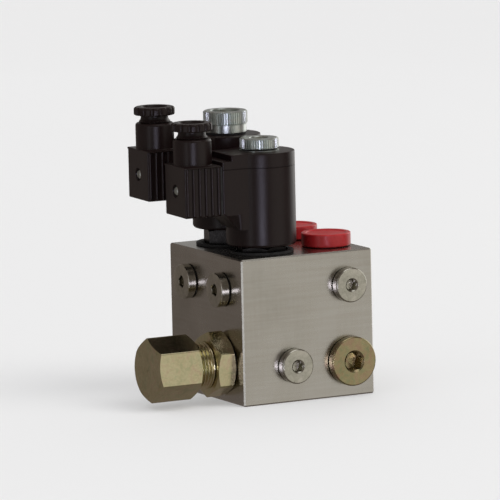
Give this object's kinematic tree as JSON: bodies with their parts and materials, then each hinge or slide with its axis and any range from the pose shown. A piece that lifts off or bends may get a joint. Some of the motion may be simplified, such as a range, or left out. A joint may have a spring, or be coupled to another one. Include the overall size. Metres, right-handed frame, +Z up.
{
  "type": "solenoid directional valve",
  "caption": "Steel manifold block with upright solenoid cartridge valves, black coils with plug connectors, gallery plugs, a capped port fitting and push-in port caps.",
  "frame": {"origin": "centre of the block's bottom face", "axes": "+Z up along the valves, -Y out of the front face with three plugs, -X out of the left face with the capped fitting"},
  "size_m": [0.1264, 0.0904, 0.1588],
  "materials": {
    "block_steel": "ground and plated, dull satin",
    "zinc_plug": "turned, clear zinc plated",
    "yellow_zinc": "turned, yellow zinc chromate",
    "red_plastic": "moulded, slight sheen",
    "seal_rubber": "moulded rubber, dull",
    "black_steel": "blackened steel",
    "inner_steel": "ground steel",
    "bright_zinc": "knurled, bright zinc plated",
    "brass_pin": "turned brass",
    "copper_wire": "enamelled copper wire",
    "coil_plastic": "glass-filled black moulding, satin",
    "connector_plastic": "black moulding, satin",
    "inner_plastic": "plain moulding"
  },
  "bodies": {
    "manifold": {"manifold_block": "block_steel", "small_gallery_plugs": "zinc_plug", "small_plug_seals": "seal_rubber", "large_gallery_plug": "yellow_zinc", "large_plug_seal": "seal_rubber", "port_fitting": "yellow_zinc", "port_fitting_seal": "seal_rubber", "front_base_ring": "seal_rubber", "front_cartridge_body": "black_steel", "front_cartridge_orings": "seal_rubber", "front_spring_seat": "inner_steel", "front_return_spring": "inner_steel", "front_pole_piece": "inner_steel", "front_armature_tube": "inner_steel", "front_nut_oring": "seal_rubber", "front_nut_washer": "bright_zinc", "rear_base_ring": "seal_rubber", "rear_cartridge_body": "black_steel", "rear_cartridge_orings": "seal_rubber", "rear_spring_seat": "inner_steel", "rear_return_spring": "inner_steel", "rear_pole_piece": "inner_steel", "rear_armature_tube": "inner_steel", "rear_nut_oring": "seal_rubber"},
    "front_coil": {"front_coil_housing": "coil_plastic", "front_coil_bobbin": "inner_plastic", "front_coil_winding": "copper_wire", "front_coil_terminals": "brass_pin", "front_connector_gasket": "seal_rubber", "front_connector_housing": "connector_plastic", "front_connector_insert": "inner_plastic", "front_connector_screw": "bright_zinc", "front_gland_grommet": "seal_rubber", "front_gland_washer": "inner_plastic"},
    "front_spool_train": {"front_spool": "inner_steel", "front_push_pin": "inner_steel", "front_armature": "inner_steel"},
    "front_override": {"front_override_pin": "brass_pin"},
    "front_coil_nut": {"front_coil_nut": "bright_zinc"},
    "front_gland_nut": {"front_gland_nut": "connector_plastic"},
    "rear_coil": {"rear_coil_housing": "coil_plastic", "rear_coil_bobbin": "inner_plastic", "rear_coil_winding": "copper_wire", "rear_coil_terminals": "brass_pin", "rear_connector_gasket": "seal_rubber", "rear_connector_housing": "connector_plastic", "rear_connector_insert": "inner_plastic", "rear_connector_screw": "bright_zinc", "rear_gland_grommet": "seal_rubber", "rear_gland_washer": "inner_plastic"},
    "rear_spool_train": {"rear_spool": "inner_steel", "rear_push_pin": "inner_steel", "rear_armature": "inner_steel"},
    "rear_override": {"rear_override_pin": "brass_pin"},
    "rear_coil_nut": {"rear_coil_nut": "bright_zinc"},
    "rear_gland_nut": {"rear_gland_nut": "connector_plastic"},
    "fitting_cap": {"fitting_cap_nut": "yellow_zinc"},
    "front_cap": {"front_port_cap": "red_plastic"},
    "rear_cap": {"rear_port_cap": "red_plastic"}
  },
  "joints": [
    {"name": "front_override_press", "type": "slide", "parent": "manifold", "child": "front_override", "axis": [0, 0, -1], "range_m": [0, 0.003], "stiffness_N_per_m": 300, "springref_m": -0.002},
    {"name": "front_spool_shift", "type": "slide", "parent": "manifold", "child": "front_spool_train", "axis": [0, 0, -1], "range_m": [0, 0.003], "stiffness_N_per_m": 2000, "springref_m": -0.004, "deforming": ["front_return_spring"]},
    {"name": "front_coil_swivel", "type": "hinge", "parent": "manifold", "child": "front_coil", "pos_m": [-0.0156, -0.0196, 0.0844], "axis": [0, 0, 1], "range_deg": [-5, 180]},
    {"name": "front_coil_nut_turn", "type": "hinge", "parent": "manifold", "child": "front_coil_nut", "pos_m": [-0.0156, -0.0196, 0.1394], "axis": [0, 0, 1], "continuous": true},
    {"name": "front_gland_nut_turn", "type": "hinge", "parent": "front_coil", "child": "front_gland_nut", "pos_m": [-0.05513, -0.01718, 0.1444], "axis": [0, 0, 1], "continuous": true},
    {"name": "rear_override_press", "type": "slide", "parent": "manifold", "child": "rear_override", "axis": [0, 0, -1], "range_m": [0, 0.003], "stiffness_N_per_m": 300, "springref_m": -0.002},
    {"name": "rear_spool_shift", "type": "slide", "parent": "manifold", "child": "rear_spool_train", "axis": [0, 0, -1], "range_m": [0, 0.003], "stiffness_N_per_m": 2000, "springref_m": -0.004, "deforming": ["rear_return_spring"]},
    {"name": "rear_coil_swivel", "type": "hinge", "parent": "manifold", "child": "rear_coil", "pos_m": [-0.0156, 0.0196, 0.0897], "axis": [0, 0, 1], "range_deg": [-180, 5]},
    {"name": "rear_coil_nut_turn", "type": "hinge", "parent": "manifold", "child": "rear_coil_nut", "pos_m": [-0.0156, 0.0196, 0.1447], "axis": [0, 0, 1], "continuous": true},
    {"name": "rear_gland_nut_turn", "type": "hinge", "parent": "rear_coil", "child": "rear_gland_nut", "pos_m": [-0.05773, 0.02196, 0.1497], "axis": [0, 0, 1], "continuous": true},
    {"name": "fitting_cap_turn", "type": "hinge", "parent": "manifold", "child": "fitting_cap", "pos_m": [-0.07, -0.019, 0.0211], "axis": [-1, 0, 0], "continuous": true},
    {"name": "front_cap_pull", "type": "slide", "parent": "manifold", "child": "front_cap", "axis": [0, 0, 1], "range_m": [0, 0.012]},
    {"name": "rear_cap_pull", "type": "slide", "parent": "manifold", "child": "rear_cap", "axis": [0, 0, 1], "range_m": [0, 0.012]}
  ],
  "couplings": [
    {"joint": "front_spool_shift", "follows": "front_override_press", "ratio": 1},
    {"joint": "rear_spool_shift", "follows": "rear_override_press", "ratio": 1}
  ]
}
